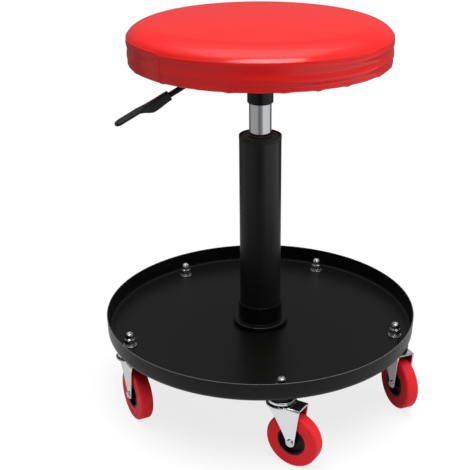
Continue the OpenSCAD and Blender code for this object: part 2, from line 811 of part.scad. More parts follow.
// Domed cap nuts
module cap_nuts() {
    wall_h = nut_h - nut_hex_h - nut_dome_r;
    color([0.85, 0.85, 0.87]) at_stems()
        translate([0, 0, tray_floor_z + flat_washer_t + lock_washer_t]) difference() {
            union() {
                cylinder(r = hex_r(nut_af), h = nut_hex_h, $fn = 6);
                translate([0, 0, nut_hex_h]) cylinder(r = nut_dome_r, h = wall_h);
                intersection() {
                    translate([0, 0, nut_hex_h + wall_h]) sphere(r = nut_dome_r);
                    translate([0, 0, nut_hex_h + wall_h]) cylinder(r = nut_dome_r + over, h = nut_dome_r + over);
                }
            }
            translate([0, 0, -over]) cylinder(r = thread_r + seated_gap, h = nut_thread_depth + over);
        }
}

// Outline of a fork's leg, as [along the trail, height] points
function leg_outline() =
    let (
        top_z = fork_top_z - fork_t / 2,
        lead_foot = [trail + fork_boss_r * cos(leg_meets_boss), wheel_r + fork_boss_r * sin(leg_meets_boss)],
        lead_top = [-fork_lead, top_z - leg_edge_h],
        lead_pull = [leg_pull_x, top_z - leg_pull_drop]
    )
    concat(
        [[-fork_lead, top_z]],
        [for (i = [0 : 12]) bend_point(lead_top, lead_pull, lead_foot, i / 12)],
        arc(trail, wheel_r, fork_boss_r, leg_meets_boss + 4, 366, 16),
        [[fork_tail, top_z - leg_edge_h], [fork_tail, top_z]]
    );

// Plan of a fork's walls, grown outwards by grow: straight at the sides, round
// at both leading corners
function fork_plan(grow) =
    let (half = fork_half_w + grow, turn_r = fork_turn_r - fork_t + grow, turn_x = fork_turn_r - fork_lead)
    concat(
        [[fork_tail + over * (1 - grow / fork_t), half]],
        arc(turn_x, half - turn_r, turn_r, 90, 180),
        arc(turn_x, turn_r - half, turn_r, 180, 270),
        [[fork_tail + over * (1 - grow / fork_t), -half]]
    );

// Fork of caster k: a pressed sheet with a round head, and a wall that goes
// round its leading end into two legs
module fork(k) {
    outer = fork_half_w + fork_t;
    color([0.8, 0.81, 0.83]) at_caster(k) difference() {
        union() {
            translate([0, 0, fork_top_z - fork_t]) {
                cylinder(r = fork_cap_r, h = fork_t);
                translate([0, -outer, 0]) cube([fork_tail, 2 * outer, fork_t]);
            }
            intersection() {
                translate([0, outer + over, 0]) rotate([90, 0, 0])
                    linear_extrude(2 * (outer + over)) polygon(leg_outline());
                linear_extrude(fork_top_z) difference() {
                    polygon(fork_plan(fork_t));
                    polygon(fork_plan(0));
                }
            }
        }
        translate([0, 0, fork_top_z - fork_t - over])
            cylinder(r = kingpin_r + running_gap, h = fork_t + 2 * over);
        translate([trail, 0, wheel_r]) rotate([90, 0, 0])
            cylinder(r = axle_r + seated_gap, h = 2 * (fork_half_w + fork_t + over), center = true);
    }
}

// Axle of caster k: a round-headed bolt and its nut
module axle(k) {
    outer = fork_half_w + fork_t;
    color([0.72, 0.72, 0.74]) at_caster(k) translate([trail, 0, wheel_r]) {
        translate([0, outer + axle_nut_t, 0]) rotate([90, 0, 0])
            cylinder(r = axle_r, h = 2 * outer + axle_nut_t, $fn = 48);
        translate([0, -outer, 0]) rotate([90, 0, 0]) rotate_extrude() polygon(concat(
            [[0, 0], [axle_head_r, 0]],
            arc(axle_head_r - axle_head_t / 2, axle_head_t / 2, axle_head_t / 2, 0, 90, 5),
            [[0, axle_head_t]]
        ));
        translate([0, outer + axle_nut_t, 0]) rotate([90, 0, 0]) difference() {
            cylinder(r = hex_r(axle_nut_af), h = axle_nut_t, $fn = 6);
            translate([0, 0, -over]) cylinder(r = axle_r + seated_gap, h = axle_nut_t + 2 * over, $fn = 48);
        }
    }
}

// Hub of wheel k: a rim, a sunk web and a boss that runs on the axle
module hub(k) {
    half = wheel_w / 2;
    boss_half = fork_half_w - hub_side_gap;
    web_half = half - hub_web_inset;
    color([0.06, 0.06, 0.07]) at_caster(k) translate([trail, 0, wheel_r]) rotate([90, 0, 0])
        rotate_extrude() polygon([
            [axle_r + running_gap, -boss_half], [hub_boss_r, -boss_half], [hub_boss_r, -web_half],
            [hub_r - hub_rim_w, -web_half], [hub_r - hub_rim_w, -half], [hub_r, -half],
            [hub_r, half], [hub_r - hub_rim_w, half], [hub_r - hub_rim_w, web_half],
            [hub_boss_r, web_half], [hub_boss_r, boss_half], [axle_r + running_gap, boss_half]
        ]);
}

// Tyre of wheel k, moulded round the hub
module tyre(k) {
    half = wheel_w / 2;
    color([0.8, 0.1, 0.12]) at_caster(k) translate([trail, 0, wheel_r]) rotate([90, 0, 0])
        rotate_extrude() polygon([
            [hub_r + seated_gap, -half], [wheel_r - tyre_bevel, -half], [wheel_r, tyre_bevel - half],
            [wheel_r, half - tyre_bevel], [wheel_r - tyre_bevel, half], [hub_r + seated_gap, half]
        ]);
}

tray_pan();
column_socket();
under_plate();
ring_nut();
column_tube();
column_base();
guide_bush();
lower_race();
ball_cage();
thrust_balls();
caster_stems();
raceway_cups();
swivel_balls();
flat_washers();
lock_washers();
cap_nuts();
piston_rod();
piston_head();
piston_seal();
upper_race();
bump_stop();
rod_clip();
gas_cylinder();
cylinder_gland();
valve_body();
valve_pin();
taper_socket();
seat_plate();
lever_bracket();
pivot_pin();
plate_bolts();
bolt_washers();
tee_nuts();
seat_board();
foam_pad();
vinyl_cover();
cover_staples();
lever_rod();
lever_grip();
for (k = [1 : caster_count]) {
    fork(k);
    axle(k);
    hub(k);
    tyre(k);
}
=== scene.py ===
"""Rolling workshop seat: the looks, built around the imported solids.

Shapes are worked out in millimetres and go into the meshes in metres, in the solids' own frame:
the origin on the floor under the column, +Z up, the viewer at -Y.
"""

import json
import math

import bpy
import numpy as np
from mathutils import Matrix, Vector


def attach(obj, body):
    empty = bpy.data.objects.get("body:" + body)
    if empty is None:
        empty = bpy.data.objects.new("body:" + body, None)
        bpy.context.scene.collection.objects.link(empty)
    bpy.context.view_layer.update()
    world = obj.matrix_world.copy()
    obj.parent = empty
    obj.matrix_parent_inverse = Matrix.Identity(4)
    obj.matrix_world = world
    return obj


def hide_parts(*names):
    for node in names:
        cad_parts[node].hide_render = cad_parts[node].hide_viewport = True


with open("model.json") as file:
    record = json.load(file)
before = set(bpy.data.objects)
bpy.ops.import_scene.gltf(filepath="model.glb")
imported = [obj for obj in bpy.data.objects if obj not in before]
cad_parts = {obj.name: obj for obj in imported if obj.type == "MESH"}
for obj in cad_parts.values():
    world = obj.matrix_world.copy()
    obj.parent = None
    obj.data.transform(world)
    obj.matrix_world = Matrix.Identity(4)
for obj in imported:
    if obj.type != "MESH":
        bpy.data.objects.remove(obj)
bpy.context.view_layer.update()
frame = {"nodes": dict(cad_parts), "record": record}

MM = 0.001

# Sizes of the solids, in millimetres

RIM_Z, TRAY_R, TRAY_FOOT_R, SHEET_T = 119.0, 206.0, 205.0, 1.2
TRAY_UNDER_Z = 94.5
TRAY_FLOOR_Z = TRAY_UNDER_Z + SHEET_T
SPIGOT_HOLE_R = 22.3
SPIGOT_R, SPIGOT_BORE_R, SPIGOT_FOOT_Z = 22.0, 18.0, 82.7
COLUMN_R, COLUMN_WALL = 27.0, 1.8
COLUMN_FOOT_Z, TUBE_TOP_Z, COLUMN_TOP_Z = 99.0, 354.0, 359.5
SOCKET_R, SOCKET_TOP_Z, SOCKET_FOOT = 29.35, 127.7, 7.0
CYLINDER_R, CYLINDER_WALL, CYLINDER_FOOT_Z, CYLINDER_TOP_Z = 14.2, 1.6, 159.9, 431.0
BUSH_FOOT_Z, CAP_R, CAP_LIP_R, CAP_DISH_R, WIPER_R = 294.0, 27.2, 25.4, 24.0, 16.1
SEAT_R, HEM_R, SEAT_UNDER_Z, CROWN_Z = 162.5, 161.5, 454.0, 506.0
CROWN_RISE, SHOULDER_W, SHOULDER_H, HEM_ROLL_R = 2.5, 40.0, 19.5, 3.0
TUCK_R, VINYL_T = 135.5, 1.2
BOARD_UNDER_Z = SEAT_UNDER_Z + VINYL_T
ROD_Z, ROD_R, ROD_INNER_X = 443.5, 3.5, -5.0
PIVOT_X, BEND_X, BEND_R, SLOPE = 34.0, 69.5, 15.0, math.radians(27.5)
LEVER_BOSS_R, PIVOT_BORE_R, LEVER_BOSS_HALF_W = 6.0, 2.55, 4.5
ROD_REACH, GRIP_HOLD, GRIP_LEN, GRIP_W, GRIP_H = 51.5, 27.0, 75.0, 16.0, 13.5
GRIP_ROOT_W, GRIP_SWELL, FINGER_H = 10.0, 25.0, 4.5
LEVER_AZIMUTH = math.radians(198)
STEM_CIRCLE_R = 183.0
STEM_ANGLES = np.radians([-13.5, 62.5, 127.5, 202.5, -82.0])
HEADINGS = np.radians([-66.5, 80.0, 150.0, -62.0, -31.0])
TRAIL, WHEEL_R, WHEEL_W, HUB_R, TYRE_BEVEL = 18.5, 35.0, 17.0, 18.8, 2.0
FORK_TOP_Z, FORK_T, FORK_HALF_W = 82.2, 2.2, 9.9
FORK_LEAD, FORK_TAIL, FORK_TURN_R, FORK_CAP_R, FORK_BOSS_R = 14.0, 30.5, 7.0, 19.0, 6.0
CUP_R, CUP_WALL, CUP_TOP_Z, CUP_FOOT_Z = 17.0, 1.4, 88.4, 84.4
STUD_R, WASHER_R, WASHER_T, LOCK_T = 4.0, 8.8, 1.6, 2.2
NUT_ACROSS, NUT_FLATS_H, NUT_H, NUT_DOME_R = 13.0, 6.5, 16.0, 5.9
KINGPIN_R, PEEN_R, PEEN_T, COLLAR_ACROSS, STUD_TOP_Z = 5.0, 8.0, 2.4, 14.0, 109.5
AXLE_R, AXLE_HEAD_R, AXLE_HEAD_T, AXLE_NUT_ACROSS, AXLE_NUT_T, AXLE_END = 3.0, 4.6, 2.0, 10.0, 4.0, 6.0
HUB_BOSS_R, HUB_RIM, HUB_DISH = 6.5, 2.6, 4.5

# How far apart faces stay that are fitted, and those that run
FIT, RUN = 0.02, 0.05

# The camera: its place in metres, how far it looks down in radians, and its picture in pixels
CAMERA_PLACE, LOOK_DOWN = (0.0, -1.213, 0.731), 0.3975
PICTURE_SIDE_PX, FOCAL_PX, SHIFT_PX, SENSOR_MM = 470, 1000, 25.3, 36.0


# Shapes: points in millimetres, with their quads and triangles


def tidy(points, quads):
    """One corner for each place. A quad whose corners meet becomes a triangle, and the faces point out:
    the volume, summed as p0 . (p1 x p2) / 6 over the triangles, is made positive."""
    points, quads = points.reshape(-1, 3), quads.reshape(-1, 4)
    _, first, where = np.unique(np.round(points, 4), axis=0, return_index=True, return_inverse=True)
    quads = where.reshape(-1)[quads]
    points = points[first]
    met = quads == np.roll(quads, 1, axis=1)
    whole, three = quads[met.sum(1) == 0], quads[met.sum(1) == 1]
    triangles = three[~met[met.sum(1) == 1]].reshape(-1, 3)
    fans = np.vstack([whole[:, [0, 1, 2]], whole[:, [0, 2, 3]], triangles])
    a, b, c = points[fans[:, 0]], points[fans[:, 1]], points[fans[:, 2]]
    if np.einsum("ij,ij->i", a, np.cross(b, c)).sum() < 0:
        whole, triangles = whole[:, ::-1], triangles[:, ::-1]
    return points, whole, triangles


def grid(points, wrap_rows=False):
    """Quads between neighbours of a grid of points. Its last column is joined to its first, and so is
    its last row where the rows are wrapped."""
    rows, columns = points.shape[:2]
    at = np.arange(rows * columns).reshape(rows, columns)
    at = np.vstack([at, at[:1]]) if wrap_rows else at
    at = np.hstack([at, at[:, :1]])
    quads = np.stack([at[:-1, :-1], at[:-1, 1:], at[1:, 1:], at[1:, :-1]], -1)
    return tidy(points, quads)


def join(*forms):
    """Several forms as one: their points in a row, and their faces' numbers moved on to match."""
    starts = np.cumsum([0] + [len(f[0]) for f in forms[:-1]])
    return (
        np.vstack([f[0] for f in forms]),
        np.vstack([f[1] + s for f, s in zip(forms, starts)]),
        np.vstack([f[2] + s for f, s in zip(forms, starts)]),
    )


def moved(form, turn, by):
    """A form turned about Z by an angle, then moved."""
    c, s = math.cos(turn), math.sin(turn)
    return form[0] @ np.array([[c, s, 0], [-s, c, 0], [0, 0, 1]]) + np.array(by, float), form[1], form[2]


def laid(form):
    """A form whose axis is Z, laid along Y: (x, y, z) goes to (x, -z, y)."""
    x, y, z = form[0].T
    return np.stack([x, -z, y], -1), form[1], form[2]


def rounded(corners, closed=False, steps=5):
    """An outline with its corners rounded. Each corner is (x, y, reach): the corner c becomes the curve
    c + reach * ((1 - t)^2 a + t^2 b) between the unit ways a and b to its neighbours. A point just past
    each end of the curve keeps the flats flat."""
    corners = np.array([(*c, 0.0)[:3] for c in corners], float)
    c, reach = corners[:, :2], corners[:, 2]
    back, on = np.roll(c, 1, 0) - c, np.roll(c, -1, 0) - c
    far_back, far_on = np.linalg.norm(back, axis=1), np.linalg.norm(on, axis=1)
    reach = np.minimum(reach, 0.42 * np.minimum(far_back, far_on))
    if not closed:
        reach[[0, -1]] = 0
    a, b = back / far_back[:, None], on / far_on[:, None]
    t = np.linspace(0, 1, steps + 1)[None, :, None]
    curve = c[:, None] + reach[:, None, None] * ((1 - t) ** 2 * a[:, None] + t**2 * b[:, None])
    before = c[:, None] + 1.15 * reach[:, None, None] * a[:, None]
    after = c[:, None] + 1.15 * reach[:, None, None] * b[:, None]
    points = np.concatenate([before, curve, after], 1).reshape(-1, 2)
    apart = np.linalg.norm(points - np.roll(points, 1, 0), axis=1) > 1e-5
    apart[0] = True
    return points[apart]


def turned(profile, around, closed=False):
    """A profile of (radius, height) points turned about Z: (r cos a, r sin a, h)."""
    profile = np.asarray(profile, float)
    a = np.linspace(0, 2 * math.pi, around, endpoint=False)
    r, h = profile[:, :1], profile[:, 1:]
    return grid(np.stack([r * np.cos(a), r * np.sin(a), h + 0 * a], -1), wrap_rows=closed)


def ring(outer, bore, low, high, edge, around):
    """A ring with rounded edges."""
    corners = [(bore, low, edge), (outer, low, edge), (outer, high, edge), (bore, high, edge)]
    return turned(rounded(corners, closed=True, steps=3), around, closed=True)


def hexagon(across, low, high, chamfer_low=0.0, chamfer_high=0.0):
    """A hexagon whose corners are turned off at its ends. The radius at angle a is the smaller of the
    flat's, across / 2 / cos(a - the flat's middle), and that of a 30 degree cone at each end."""
    cone_slope, end_h = 1.73, 1.2
    a = np.radians(np.arange(0, 360, 3.75))
    flat = across / 2 / np.cos((a % math.radians(60)) - math.radians(30))
    corner = across / 2 / math.cos(math.radians(30))
    z = np.unique(np.concatenate([
        np.linspace(low, low + end_h, 7), np.linspace(high - end_h, high, 7), [(low + high) / 2]]))[:, None]
    off_low = np.maximum(0, chamfer_low - (z - low) * cone_slope)
    off_high = np.maximum(0, chamfer_high - (high - z) * cone_slope)
    r = np.minimum(flat[None, :], corner - off_low - off_high)
    wall = np.stack([r * np.cos(a), r * np.sin(a), z + 0 * a], -1)
    ends = [np.stack([0 * a, 0 * a, end + 0 * a], -1)[None] for end in (low, high)]
    return grid(np.concatenate([ends[0], wall, ends[1]]))


def swept(loops):
    """A tube through loops of points, closed at both ends by the middle of its end loops."""
    first, last = loops[:1].mean(1, keepdims=True), loops[-1:].mean(1, keepdims=True)
    ends = [np.repeat(end, loops.shape[1], 1) for end in (first, last)]
    return grid(np.concatenate([ends[0], loops, ends[1]]))


def bell(x):
    """A smooth bump: exp(-x^2)."""
    return np.exp(-np.square(x))


def ease(t):
    """A smooth step from 0 to 1: 3 t^2 - 2 t^3, held at both ends."""
    t = np.clip(t, 0, 1)
    return t * t * (3 - 2 * t)


def stem_place(way):
    """Where the stem stands that lies that way from the column."""
    return STEM_CIRCLE_R * math.cos(way), STEM_CIRCLE_R * math.sin(way), 0


def at_stems(form):
    """A form at each of the five stems, turned with its stem."""
    return join(*[moved(form, way, stem_place(way)) for way in STEM_ANGLES])


def at_caster(form, k):
    """A form drawn along +X from the stem, put at stem k along the way its wheel trails."""
    return moved(form, HEADINGS[k], stem_place(STEM_ANGLES[k]))


# Materials


class Value:
    """A number in a shader. Sums, differences and products of it add Math nodes."""

    def __init__(self, finish, socket):
        self.finish, self.socket = finish, socket

    def math(self, operation, *others):
        made = self.finish.node(
            "ShaderNodeMath", {"operation": operation}, {i: v for i, v in enumerate((self, *others))})
        return Value(self.finish, made.outputs[0])

    def __add__(self, other):
        return self.math("ADD", other)

    def __sub__(self, other):
        return self.math("SUBTRACT", other)

    def __rsub__(self, other):
        return (self * -1.0) + other

    def __mul__(self, other):
        return self.math("MULTIPLY", other)

    __radd__, __rmul__ = __add__, __mul__

    def between(self, low, high):
        """0 below low, 1 above high, and a smooth step between them."""
        made = self.finish.node(
            "ShaderNodeMapRange", {"interpolation_type": "SMOOTHSTEP"},
            {"Value": self, "From Min": low, "From Max": high})
        return Value(self.finish, made.outputs[0])


class Finish:
    """A material or the world: its nodes, and the shader at their end."""

    def __init__(self, tree):
        self.tree = tree
        tree.nodes.clear()

    def node(self, kind, settings=None, inputs=None):
        """Adds any node: its settings first, then the values or links of its sockets."""
        made = self.tree.nodes.new(kind)
        for name, value in (settings or {}).items():
            setattr(made, name, value)
        for name, value in (inputs or {}).items():
            socket = made.inputs[name]
            value = value.socket if isinstance(value, Value) else value
            if isinstance(value, bpy.types.NodeSocket):
                self.tree.links.new(value, socket)
            else:
                socket.default_value = value
        return made

    def value(self, kind, settings=None, inputs=None, output=0):
        return Value(self, self.node(kind, settings, inputs).outputs[output])

    def place(self, stretch=(1, 1, 1)):
        """The point on the piece, in metres, stretched along the axes."""
        where = self.node("ShaderNodeTexCoord").outputs["Object"]
        if stretch == (1, 1, 1):
            return where
        return self.node("ShaderNodeMapping", None, {"Vector": where, "Scale": stretch}).outputs[0]

    def noise(self, scale, detail=2.0, stretch=(1, 1, 1), roughness=0.5):
        return self.value("ShaderNodeTexNoise", None, {
            "Vector": self.place(stretch), "Scale": scale, "Detail": detail, "Roughness": roughness})

    def cells(self, scale):
        return self.value("ShaderNodeTexVoronoi", {"feature": "F1"}, {"Vector": self.place(), "Scale": scale})

    def part_of(self, axis):
        """One coordinate of the point, in metres."""
        split = self.node("ShaderNodeSeparateXYZ", None, {"Vector": self.place()})
        return Value(self, split.outputs[axis])

    def mix(self, share, one, other):
        """Colour one where share is 0, and the other where it is 1."""
        made = self.node("ShaderNodeMix", {"data_type": "RGBA"}, {0: share})
        for index, colour in ((6, one), (7, other)):
            if isinstance(colour, bpy.types.NodeSocket):
                self.tree.links.new(colour, made.inputs[index])
            else:
                made.inputs[index].default_value = (*colour, 1.0)
        return made.outputs[2]

    def bump(self, height, depth):
        """A normal for a height of 0 to 1 that stands for depth in metres."""
        return self.node("ShaderNodeBump", None, {
            "Height": height, "Distance": depth, "Strength": 1.0}).outputs[0]


FINISHES = {}


def finish(name, colour, roughness, normal=None, **fixed):
    """A named material. Colour, roughness and normal may be functions of its Finish."""
    made = bpy.data.materials.new(name)
    made.use_nodes = True
    f = Finish(made.node_tree)
    shader = f.node("ShaderNodeBsdfPrincipled", None, {n.replace("_", " "): v for n, v in fixed.items()})
    f.node("ShaderNodeOutputMaterial", None, {"Surface": shader.outputs[0]})
    for socket, given in (("Base Color", colour), ("Roughness", roughness), ("Normal", normal)):
        if given is None:
            continue
        given = given(f) if callable(given) else given
        given = given.socket if isinstance(given, Value) else given
        if isinstance(given, bpy.types.NodeSocket):
            f.tree.links.new(given, shader.inputs[socket])
        else:
            shader.inputs[socket].default_value = (*given, 1.0) if socket == "Base Color" else given
    FINISHES[name] = made


def vinyl_grain(f):
    """Fine leather grain: cells about a millimetre across, with softer swells over them."""
    return f.bump(f.cells(950.0) * 0.5 + f.noise(300.0, 3.0) * 0.5, 0.00005)


def enamel_with_painted_rim_highlight(f):
    """Black paint, with a grey line painted along the tray's cut edge at the rim: a painted highlight for the
    light that edge catches.
    """
    paint = f.mix(f.noise(900.0, 2.0), (0.0024, 0.0023, 0.0022), (0.0056, 0.0053, 0.0050))
    # The grey line at the rim's top is a painted highlight, not the paint's own colour.
    return f.mix(f.part_of(2).between(0.1184, 0.1188), paint, (0.10, 0.097, 0.093))


finish("red_vinyl",
       lambda f: f.mix(f.noise(9.0, 3.0), (0.80, 0.014, 0.013), (0.73, 0.010, 0.010)),
       lambda f: f.noise(40.0, 3.0) * 0.06 + 0.16, vinyl_grain, Specular_IOR_Level=0.5)
finish("black_enamel",
       enamel_with_painted_rim_highlight, lambda f: f.noise(14.0, 3.0) * 0.08 + 0.26,
       lambda f: f.bump(f.noise(420.0, 2.0) * 0.6 + f.noise(1500.0, 2.0) * 0.4, 0.00006),
       Specular_IOR_Level=0.25)
finish("black_satin",
       lambda f: f.mix(f.noise(700.0, 2.0), (0.0045, 0.0045, 0.0050), (0.0080, 0.0080, 0.0085)),
       lambda f: f.noise(20.0, 3.0) * 0.06 + 0.25,
       lambda f: f.bump(f.noise(500.0, 2.0), 0.00005), Specular_IOR_Level=0.5)
finish("black_gloss",
       lambda f: f.mix(f.noise(60.0, 2.0), (0.0020, 0.0020, 0.0022), (0.0040, 0.0040, 0.0042)),
       lambda f: f.noise(30.0, 3.0) * 0.08 + 0.14,
       lambda f: f.bump(f.noise(350.0, 2.0), 0.00004), Specular_IOR_Level=0.35)
finish("chrome",
       lambda f: f.mix(f.noise(25.0, 3.0), (0.80, 0.81, 0.83), (0.74, 0.75, 0.77)),
       lambda f: f.noise(60.0, 4.0) * 0.07 + 0.045,
       lambda f: f.bump(f.noise(200.0, 2.0), 0.000008), Metallic=1.0)
finish("zinc",
       lambda f: f.mix(f.noise(120.0, 3.0), (0.66, 0.67, 0.69), (0.56, 0.57, 0.60)),
       lambda f: f.noise(250.0, 3.0) * 0.14 + 0.20,
       lambda f: f.bump(f.noise(1200.0, 2.0), 0.00003), Metallic=1.0)
finish("bare_steel",
       lambda f: f.mix(f.noise(90.0, 3.0), (0.50, 0.50, 0.52), (0.40, 0.40, 0.41)),
       lambda f: f.noise(300.0, 3.0, (1, 1, 12)) * 0.16 + 0.24,
       lambda f: f.bump(f.noise(900.0, 2.0, (1, 1, 12)), 0.00003), Metallic=1.0)
finish("alloy",
       lambda f: f.mix(f.noise(80.0, 2.0), (0.60, 0.60, 0.62), (0.52, 0.52, 0.54)),
       lambda f: f.noise(400.0, 2.0, (1, 1, 20)) * 0.14 + 0.24,
       lambda f: f.bump(f.noise(400.0, 2.0, (1, 1, 20)), 0.00003), Metallic=1.0)
finish("brass_cage",
       lambda f: f.mix(f.noise(90.0, 2.0), (0.60, 0.45, 0.18), (0.50, 0.36, 0.13)),
       lambda f: f.noise(200.0, 3.0) * 0.12 + 0.24, None, Metallic=1.0)
finish("brass_pin",
       lambda f: f.mix(f.noise(90.0, 2.0), (0.65, 0.50, 0.22), (0.56, 0.42, 0.17)),
       lambda f: f.noise(300.0, 2.0, (1, 1, 15)) * 0.12 + 0.20, None, Metallic=1.0)
finish("black_plastic",
       lambda f: f.mix(f.noise(400.0, 3.0), (0.010, 0.010, 0.0105), (0.018, 0.018, 0.0185)),
       lambda f: f.noise(90.0, 3.0) * 0.10 + 0.38,
       lambda f: f.bump(f.noise(1600.0, 2.0), 0.00008), Specular_IOR_Level=0.4)
finish("black_hub",
       lambda f: f.mix(f.noise(300.0, 3.0), (0.0035, 0.0035, 0.0040), (0.0070, 0.0070, 0.0075)),
       lambda f: f.noise(120.0, 3.0) * 0.10 + 0.34,
       lambda f: f.bump(f.noise(1400.0, 2.0), 0.00005), Specular_IOR_Level=0.12)
finish("black_rubber",
       lambda f: f.mix(f.noise(200.0, 3.0), (0.016, 0.016, 0.016), (0.026, 0.026, 0.026)),
       lambda f: f.noise(80.0, 3.0) * 0.10 + 0.62,
       lambda f: f.bump(f.noise(900.0, 2.0), 0.0001))
finish("red_tyre",
       lambda f: f.mix(f.noise(60.0, 3.0), (0.72, 0.016, 0.024), (0.62, 0.011, 0.018)),
       lambda f: f.noise(140.0, 3.0) * 0.10 + 0.54,
       lambda f: f.bump(f.noise(500.0, 2.0), 0.00004), Specular_IOR_Level=0.15)
finish("foam",
       lambda f: f.mix(f.cells(500.0), (0.85, 0.78, 0.50), (0.70, 0.62, 0.36)),
       0.9, lambda f: f.bump(f.cells(700.0), 0.0006))
finish("plywood",
       lambda f: f.mix(f.noise(18.0, 5.0, (1, 14, 14), 0.6).between(0.3, 0.7),
                       (0.62, 0.44, 0.25), (0.42, 0.27, 0.13)),
       lambda f: f.noise(60.0, 3.0, (1, 12, 12)) * 0.15 + 0.55,
       lambda f: f.bump(f.noise(60.0, 4.0, (1, 20, 20)), 0.0002))


# Pieces


def piece(name, form, material, body, stands_for):
    """Puts a form into a mesh, gives it its material and slot, and sets it on its body in place of the
    nodes that it stands for."""
    points, quads, triangles = form
    mesh = bpy.data.meshes.new(name)
    mesh.from_pydata((points * MM).tolist(), [], quads.tolist() + triangles.tolist())
    mesh.polygons.foreach_set("use_smooth", np.full(len(mesh.polygons), True))
    mesh.update()
    made = bpy.data.objects.new(name, mesh)
    bpy.context.scene.collection.objects.link(made)
    mesh.materials.append(FINISHES[material])
    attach(made, body)
    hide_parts(*stands_for)
    return made


# The tray: a pressed sheet with a round fold and a leaning wall
tray_profile = rounded([
    (SPIGOT_HOLE_R, TRAY_UNDER_Z, 0.2), (TRAY_FOOT_R, TRAY_UNDER_Z, 5.8), (TRAY_R, RIM_Z, 0.5),
    (TRAY_R - SHEET_T, RIM_Z, 0.5), (TRAY_FOOT_R - SHEET_T, TRAY_FLOOR_Z, 4.5),
    (SPIGOT_HOLE_R, TRAY_FLOOR_Z, 0.2),
], closed=True, steps=8)
piece("tray_sheet", turned(tray_profile, 240, closed=True), "black_enamel", "base", ["tray_pan"])

# The socket: a tube with a round foot, over its spigot
foot_r, foot_top_z = SOCKET_R + SOCKET_FOOT, TRAY_FLOOR_Z + SOCKET_FOOT
socket_profile = rounded([
    (SPIGOT_BORE_R, SPIGOT_FOOT_Z, 0.4), (SPIGOT_R, SPIGOT_FOOT_Z, 0.4), (SPIGOT_R, TRAY_FLOOR_Z, 0.1),
    (foot_r, TRAY_FLOOR_Z, 4.0), (foot_r, foot_top_z, 4.0), (SOCKET_R, foot_top_z, 0.9),
    (SOCKET_R, SOCKET_TOP_Z, 1.2), (COLUMN_R + FIT, SOCKET_TOP_Z, 0.5), (COLUMN_R + FIT, COLUMN_FOOT_Z, 0.2),
    (SPIGOT_BORE_R, COLUMN_FOOT_Z, 0.2),
], closed=True, steps=8)
piece("column_holder", turned(socket_profile, 128, closed=True), "black_gloss", "base", ["column_socket"])

column_skin = ring(COLUMN_R, COLUMN_R - COLUMN_WALL, COLUMN_FOOT_Z, TUBE_TOP_Z, 0.4, 128)
piece("column_skin", column_skin, "black_satin", "base", ["column_tube"])

# The guide bush: a sleeve in the column, and a cap over its mouth with a lip, a groove, a dish and a
# ring that wipes the cylinder
body_r, bore_r = COLUMN_R - COLUMN_WALL - FIT, CYLINDER_R + RUN
groove_z, dish_z, wiper_z = COLUMN_TOP_Z - 2.0, COLUMN_TOP_Z - 1.2, COLUMN_TOP_Z - 0.3
bush_profile = rounded([
    (bore_r, BUSH_FOOT_Z, 0.5), (body_r, BUSH_FOOT_Z, 0.5), (body_r, TUBE_TOP_Z + FIT, 0.1),
    (CAP_R, TUBE_TOP_Z + FIT, 0.3), (CAP_R, COLUMN_TOP_Z, 1.4), (CAP_LIP_R, COLUMN_TOP_Z, 0.4),
    (CAP_LIP_R, groove_z, 0.2), (CAP_DISH_R, groove_z, 0.2), (CAP_DISH_R, dish_z, 0.3),
    (WIPER_R, dish_z, 0.3), (WIPER_R, wiper_z, 0.35), (bore_r, wiper_z, 0.35),
], closed=True)
piece("bush_ring", turned(bush_profile, 128, closed=True), "black_plastic", "base", ["guide_bush"])

cylinder = ring(CYLINDER_R, CYLINDER_R - CYLINDER_WALL, CYLINDER_FOOT_Z, CYLINDER_TOP_Z, 0.5, 128)
piece("lift_cylinder", cylinder, "chrome", "seat", ["gas_cylinder"])

# The nut stacks on the tray's floor
washer_top = TRAY_FLOOR_Z + WASHER_T
lock_top = washer_top + LOCK_T
washer = ring(WASHER_R, STUD_R + FIT, TRAY_FLOOR_Z, washer_top, 0.35, 64)
piece("flat_washer_set", at_stems(washer), "zinc", "base", ["flat_washers"])


def split_washer():
    """A square bar wound round once: (r cos a, r sin a, h + step * a / 2 pi), from one end of the split
    to the other, so its ends are a little apart and a step out of line."""
    split, step, inner, outer = 0.1, 0.2, 4.1, 6.9
    thick = LOCK_T - step
    a = np.linspace(split, 2 * math.pi - split, 60)[:, None]
    corners = [(inner, 0, 0.3), (outer, 0, 0.3), (outer, thick, 0.3), (inner, thick, 0.3)]
    bar = rounded(corners, closed=True, steps=2)
    r, h = bar[:, 0][None], bar[:, 1][None]
    lift = washer_top + step * a / (2 * math.pi)
    return swept(np.stack([r * np.cos(a), r * np.sin(a), h + lift], -1))


piece("spring_washer_set", at_stems(split_washer()), "zinc", "base", ["lock_washers"])

nut_shoulder, dome_z = lock_top + NUT_FLATS_H, lock_top + NUT_H - NUT_DOME_R
dome_foot_z = nut_shoulder - 0.5
rise = np.linspace(0, math.pi / 2, 14)
dome_profile = np.concatenate([
    [(0, dome_foot_z), (NUT_DOME_R, dome_foot_z)],
    np.stack([NUT_DOME_R * np.cos(rise), dome_z + NUT_DOME_R * np.sin(rise)], -1)])
cap_nut = join(hexagon(NUT_ACROSS, lock_top, nut_shoulder, 0.5, 1.0), turned(dome_profile, 48))
piece("cap_nut_set", at_stems(cap_nut), "chrome", "base", ["cap_nuts"])

